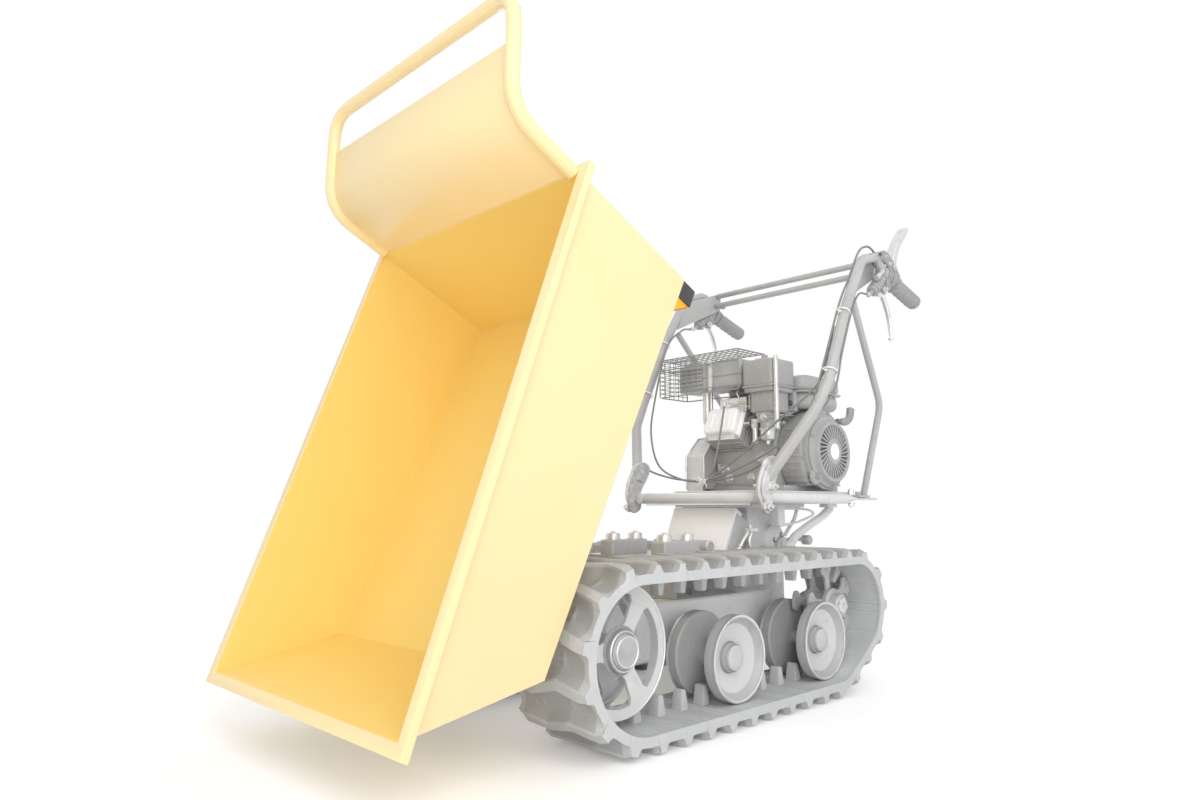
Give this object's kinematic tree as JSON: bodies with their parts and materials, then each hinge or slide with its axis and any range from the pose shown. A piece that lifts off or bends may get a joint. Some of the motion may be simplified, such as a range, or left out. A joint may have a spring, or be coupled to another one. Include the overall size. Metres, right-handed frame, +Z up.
{
  "type": "power barrow",
  "caption": "Tracked walk-behind power barrow with a skip tipped forward, engine, gearbox, rubber tracks and handlebars.",
  "frame": {"origin": "centre of the bounding box's bottom face, on the ground the tracks stand on", "axes": "+X to the machine's left, -Y forwards (the way the skip tips), +Z up"},
  "size_m": [0.646, 1.5144, 1.1689],
  "materials": {
    "yellow_paint": "glossy yellow paint",
    "orange_paint": "glossy orange paint",
    "black_plastic": "matte black plastic",
    "rubber": "matte rubber",
    "dark_steel": "satin dark paint",
    "grey_steel": "satin grey paint",
    "bright_steel": "zinc-plated",
    "pale_panel": "pale satin",
    "cast_metal": "cast alloy",
    "dark_plastic": "satin plastic"
  },
  "bodies": {
    "chassis": {"track_belt_left": "rubber", "track_belt_right": "rubber", "grip_left": "rubber", "grip_right": "rubber", "drive_belt": "rubber", "chassis_beam_left": "dark_steel", "chassis_beam_right": "dark_steel", "front_cross_member": "dark_steel", "bridge_channel": "dark_steel", "bed_plate": "dark_steel", "gearbox_casing": "dark_steel", "rear_strut": "dark_steel", "muffler": "dark_steel", "muffler_guard": "dark_steel", "belt_guard": "dark_steel", "front_cross_tube": "grey_steel", "bed_side_tube_left": "grey_steel", "bed_side_tube_right": "grey_steel", "handlebar_left": "grey_steel", "handlebar_right": "grey_steel", "brace_left": "grey_steel", "brace_right": "grey_steel", "upper_cross_tube": "grey_steel", "lower_cross_tube": "grey_steel", "hinge_pin": "bright_steel", "root_bracket_left": "bright_steel", "root_bracket_right": "bright_steel", "clamp_rod": "bright_steel", "front_panel": "pale_panel", "rocker_cover": "pale_panel", "engine_block": "cast_metal", "carburettor": "cast_metal", "blower_housing": "dark_plastic", "recoil_cover": "dark_plastic", "fuel_tank": "dark_plastic", "air_cleaner": "dark_plastic", "control_cables": "dark_plastic"},
    "skip": {"skip_tub": "yellow_paint", "spill_plate": "yellow_paint", "skip_handle": "yellow_paint", "skip_bearer": "orange_paint", "bearer_cap_left": "black_plastic", "bearer_cap_right": "black_plastic", "skip_hinge": "yellow_paint"},
    "clutch_paddle": {"clutch_paddle": "grey_steel"},
    "throttle_lever": {"throttle_lever": "dark_plastic"},
    "recoil_handle": {"recoil_handle": "dark_plastic"},
    "fuel_cap": {"fuel_cap": "dark_plastic"},
    "engine_pulley": {"engine_pulley": "bright_steel"},
    "gearbox_pulley": {"gearbox_pulley": "bright_steel"},
    "drive_sprocket_left": {"drive_sprocket_left": "cast_metal"},
    "idler_left": {"idler_left": "grey_steel"},
    "front_roller_left": {"front_roller_left": "grey_steel"},
    "rear_roller_left": {"rear_roller_left": "grey_steel"},
    "steering_lever_left": {"steering_lever_left": "bright_steel"},
    "drive_sprocket_right": {"drive_sprocket_right": "cast_metal"},
    "idler_right": {"idler_right": "grey_steel"},
    "front_roller_right": {"front_roller_right": "grey_steel"},
    "rear_roller_right": {"rear_roller_right": "grey_steel"},
    "steering_lever_right": {"steering_lever_right": "bright_steel"}
  },
  "joints": [
    {"name": "skip_tip", "type": "hinge", "parent": "chassis", "child": "skip", "pos_m": [0, -0.377, 0.276], "axis": [1, 0, 0], "range_deg": [-63.65, 0]},
    {"name": "clutch_paddle", "type": "hinge", "parent": "chassis", "child": "clutch_paddle", "pos_m": [0.27, 0.622, 0.971], "axis": [1, 0, 0], "range_deg": [-35, 0], "stiffness_Nm_per_rad": 1.2},
    {"name": "throttle_lever", "type": "hinge", "parent": "chassis", "child": "throttle_lever", "pos_m": [-0.27, 0.616, 0.971], "axis": [0, 0, 1], "range_deg": [0, 60]},
    {"name": "recoil_pull", "type": "slide", "parent": "chassis", "child": "recoil_handle", "axis": [1, 0, 0], "range_m": [0, 0.6], "stiffness_N_per_m": 20, "springref_m": -0.05},
    {"name": "fuel_cap", "type": "hinge", "parent": "chassis", "child": "fuel_cap", "pos_m": [0.02, 0.518, 0.706], "axis": [0, 0, 1], "range_deg": [0, 90]},
    {"name": "engine_pulley", "type": "hinge", "parent": "chassis", "child": "engine_pulley", "pos_m": [-0.1155, 0.493, 0.512], "axis": [1, 0, 0], "continuous": true},
    {"name": "gearbox_pulley", "type": "hinge", "parent": "chassis", "child": "gearbox_pulley", "pos_m": [-0.1155, 0.343, 0.3], "axis": [1, 0, 0], "continuous": true},
    {"name": "drive_sprocket_left", "type": "hinge", "parent": "chassis", "child": "drive_sprocket_left", "pos_m": [0.233, 0.323, 0.1729], "axis": [1, 0, 0], "continuous": true},
    {"name": "idler_left", "type": "hinge", "parent": "chassis", "child": "idler_left", "pos_m": [0.233, -0.337, 0.1549], "axis": [1, 0, 0], "continuous": true},
    {"name": "front_roller_left", "type": "hinge", "parent": "chassis", "child": "front_roller_left", "pos_m": [0.233, -0.049, 0.1096], "axis": [1, 0, 0], "continuous": true},
    {"name": "rear_roller_left", "type": "hinge", "parent": "chassis", "child": "rear_roller_left", "pos_m": [0.233, 0.243, 0.1096], "axis": [1, 0, 0], "continuous": true},
    {"name": "steering_lever_left", "type": "hinge", "parent": "chassis", "child": "steering_lever_left", "pos_m": [0.27, 0.57, 0.905], "axis": [1, 0, 0], "range_deg": [0, 20], "stiffness_Nm_per_rad": 2},
    {"name": "drive_sprocket_right", "type": "hinge", "parent": "chassis", "child": "drive_sprocket_right", "pos_m": [-0.233, 0.323, 0.1729], "axis": [1, 0, 0], "continuous": true},
    {"name": "idler_right", "type": "hinge", "parent": "chassis", "child": "idler_right", "pos_m": [-0.233, -0.337, 0.1549], "axis": [1, 0, 0], "continuous": true},
    {"name": "front_roller_right", "type": "hinge", "parent": "chassis", "child": "front_roller_right", "pos_m": [-0.233, -0.049, 0.1096], "axis": [1, 0, 0], "continuous": true},
    {"name": "rear_roller_right", "type": "hinge", "parent": "chassis", "child": "rear_roller_right", "pos_m": [-0.233, 0.243, 0.1096], "axis": [1, 0, 0], "continuous": true},
    {"name": "steering_lever_right", "type": "hinge", "parent": "chassis", "child": "steering_lever_right", "pos_m": [-0.27, 0.57, 0.905], "axis": [1, 0, 0], "range_deg": [0, 20], "stiffness_Nm_per_rad": 2}
  ],
  "couplings": [
    {"joint": "gearbox_pulley", "follows": "engine_pulley", "ratio": 0.6923},
    {"joint": "idler_left", "follows": "drive_sprocket_left", "ratio": 0.8319},
    {"joint": "front_roller_left", "follows": "drive_sprocket_left", "ratio": 1.1482},
    {"joint": "rear_roller_left", "follows": "drive_sprocket_left", "ratio": 1.1482},
    {"joint": "idler_right", "follows": "drive_sprocket_right", "ratio": 0.8319},
    {"joint": "front_roller_right", "follows": "drive_sprocket_right", "ratio": 1.1482},
    {"joint": "rear_roller_right", "follows": "drive_sprocket_right", "ratio": 1.1482}
  ]
}
